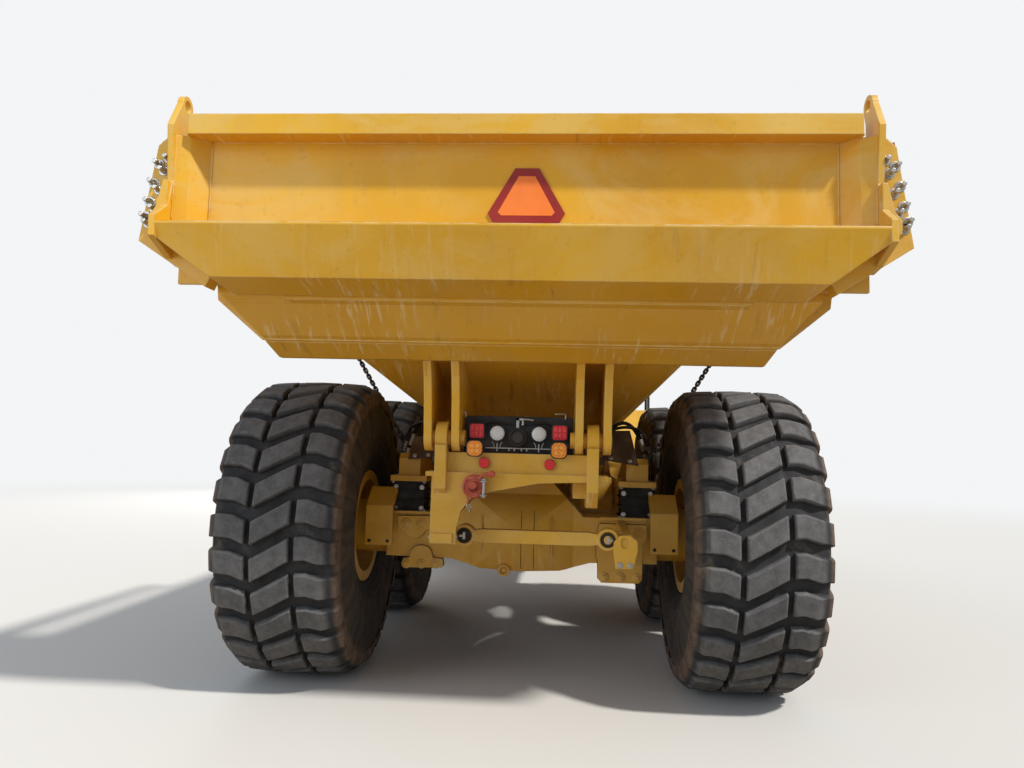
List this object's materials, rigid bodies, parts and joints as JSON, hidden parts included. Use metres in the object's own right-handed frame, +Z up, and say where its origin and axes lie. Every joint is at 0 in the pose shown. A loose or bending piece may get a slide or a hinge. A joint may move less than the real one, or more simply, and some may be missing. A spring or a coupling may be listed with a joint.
{
  "type": "articulated dump truck",
  "caption": "Six-wheel articulated dump truck with tipping bed, chain-opened tailgate, steering hitch, hollow cab and tilting hood.",
  "frame": {"origin": "centre of the bounding box's footprint, on the ground the tyres stand on", "axes": "+X forward out of the hood, +Y to the driver's left, +Z up"},
  "size_m": [11.0558, 3.76, 3.7197],
  "materials": {
    "yellow": "semi-gloss, weathered",
    "frame_yellow": "satin, dusty",
    "dark_paint": "satin",
    "engine_iron": "rough",
    "black_plastic": "matte",
    "seat_cloth": "matte",
    "rubber": "matte",
    "glass": "clear",
    "lens": "gloss",
    "bright_steel": "polished",
    "red_paint": "satin",
    "chain_iron": "rough",
    "tyre": "matte",
    "rim_yellow": "satin, dusty"
  },
  "bodies": {
    "tractor": {"front_frame": "dark_paint", "front_bumper": "yellow", "engine": "engine_iron", "radiator": "black_plastic", "front_driveline": "engine_iron", "front_axle": "frame_yellow", "front_struts": "bright_steel", "front_fenders": "yellow", "cab_shell": "yellow", "cab_glass": "glass", "cab_controls": "black_plastic", "driver_seat": "seat_cloth", "cab_steps": "dark_paint", "handrails": "dark_paint", "side_tanks": "yellow", "exhaust_stack": "dark_paint", "air_cleaner": "black_plastic", "mirrors": "black_plastic", "front_lamps": "lens", "steer_barrels": "dark_paint"},
    "hood": {"hood": "yellow", "grille": "black_plastic"},
    "door": {"cab_door": "yellow", "door_glass": "glass"},
    "hitch": {"hitch": "frame_yellow"},
    "steer_rod_left": {"steer_rod_left": "bright_steel"},
    "steer_rod_right": {"steer_rod_right": "bright_steel"},
    "rear_chassis": {"rear_frame": "frame_yellow", "mid_axle": "frame_yellow", "rear_axle": "frame_yellow", "walking_beams": "frame_yellow", "rubber_mounts": "rubber", "axle_links": "frame_yellow", "rear_driveline": "engine_iron", "rear_lamps": "black_plastic", "tow_pin": "red_paint"},
    "hoist_barrels": {"hoist_barrels": "frame_yellow"},
    "hoist_rods": {"hoist_rods": "bright_steel"},
    "bed": {"bed_shell": "yellow", "bed_ribs": "yellow"},
    "tailgate": {"tailgate": "yellow", "tailgate_arms": "yellow", "slow_sign": "red_paint"},
    "chains": {"chains": "chain_iron"},
    "wheel_front_left": {"tyre_front_left": "tyre", "rim_front_left": "rim_yellow"},
    "wheel_front_right": {"tyre_front_right": "tyre", "rim_front_right": "rim_yellow"},
    "wheel_mid_left": {"tyre_mid_left": "tyre", "rim_mid_left": "rim_yellow"},
    "wheel_mid_right": {"tyre_mid_right": "tyre", "rim_mid_right": "rim_yellow"},
    "wheel_rear_left": {"tyre_rear_left": "tyre", "rim_rear_left": "rim_yellow"},
    "wheel_rear_right": {"tyre_rear_right": "tyre", "rim_rear_right": "rim_yellow"}
  },
  "joints": [
    {"name": "steering", "type": "hinge", "parent": "tractor", "child": "hitch", "pos_m": [0.948, 0, 1.08], "axis": [0, 0, 1], "range_deg": [-45, 45]},
    {"name": "oscillation", "type": "hinge", "parent": "hitch", "child": "rear_chassis", "pos_m": [0.448, 0, 1.08], "axis": [1, 0, 0], "range_deg": [-10, 10]},
    {"name": "steer_rod_left_slide", "type": "slide", "parent": "tractor", "child": "steer_rod_left", "axis": [-1, 0, 0], "range_m": [-0.2125, 0.2125]},
    {"name": "steer_rod_right_slide", "type": "slide", "parent": "tractor", "child": "steer_rod_right", "axis": [-1, 0, 0], "range_m": [-0.2125, 0.2125]},
    {"name": "bed_tilt", "type": "hinge", "parent": "rear_chassis", "child": "bed", "pos_m": [-4.608, 0, 1.52], "axis": [0, -1, 0], "range_deg": [0, 70]},
    {"name": "hoist_swing", "type": "hinge", "parent": "rear_chassis", "child": "hoist_barrels", "pos_m": [-0.942, 0, 0.94], "axis": [0, 1, 0], "range_deg": [0, 17.28]},
    {"name": "hoist_extend", "type": "slide", "parent": "hoist_barrels", "child": "hoist_rods", "axis": [-0.9637, 0, 0.2669], "range_m": [0, 1.4819]},
    {"name": "gate_swing", "type": "hinge", "parent": "bed", "child": "tailgate", "pos_m": [-4.908, 0, 2.96], "axis": [0, 1, 0], "range_deg": [0, 50.77]},
    {"name": "chain_swing", "type": "hinge", "parent": "tailgate", "child": "chains", "pos_m": [-2.705, 0, 2.85], "axis": [0, -1, 0], "range_deg": [0, 33.58]},
    {"name": "hood_lift", "type": "hinge", "parent": "tractor", "child": "hood", "pos_m": [5.428, 0, 1.5], "axis": [0, 1, 0], "range_deg": [0, 60]},
    {"name": "door_swing", "type": "hinge", "parent": "tractor", "child": "door", "pos_m": [2.371, 0.872, 2.8], "axis": [0, 0, 1], "range_deg": [0, 80]},
    {"name": "wheel_front_left_spin", "type": "hinge", "parent": "tractor", "child": "wheel_front_left", "pos_m": [2.398, 1.345, 0.9375], "axis": [0, 1, 0], "continuous": true},
    {"name": "wheel_front_right_spin", "type": "hinge", "parent": "tractor", "child": "wheel_front_right", "pos_m": [2.398, -1.345, 0.9375], "axis": [0, 1, 0], "continuous": true},
    {"name": "wheel_mid_left_spin", "type": "hinge", "parent": "rear_chassis", "child": "wheel_mid_left", "pos_m": [-1.842, 1.345, 0.9375], "axis": [0, 1, 0], "continuous": true},
    {"name": "wheel_mid_right_spin", "type": "hinge", "parent": "rear_chassis", "child": "wheel_mid_right", "pos_m": [-1.842, -1.345, 0.9375], "axis": [0, 1, 0], "continuous": true},
    {"name": "wheel_rear_left_spin", "type": "hinge", "parent": "rear_chassis", "child": "wheel_rear_left", "pos_m": [-3.808, 1.345, 0.9375], "axis": [0, 1, 0], "continuous": true},
    {"name": "wheel_rear_right_spin", "type": "hinge", "parent": "rear_chassis", "child": "wheel_rear_right", "pos_m": [-3.808, -1.345, 0.9375], "axis": [0, 1, 0], "continuous": true}
  ],
  "couplings": [
    {"joint": "steer_rod_left_slide", "follows": "steering", "m_per_rad": 0.27},
    {"joint": "steer_rod_right_slide", "follows": "steering", "m_per_rad": -0.27},
    {"joint": "hoist_swing", "follows": "bed_tilt", "ratio": 0.24679},
    {"joint": "hoist_extend", "follows": "bed_tilt", "m_per_rad": 1.2129},
    {"joint": "gate_swing", "follows": "bed_tilt", "ratio": 0.72531},
    {"joint": "chain_swing", "follows": "bed_tilt", "ratio": 0.47975}
  ]
}
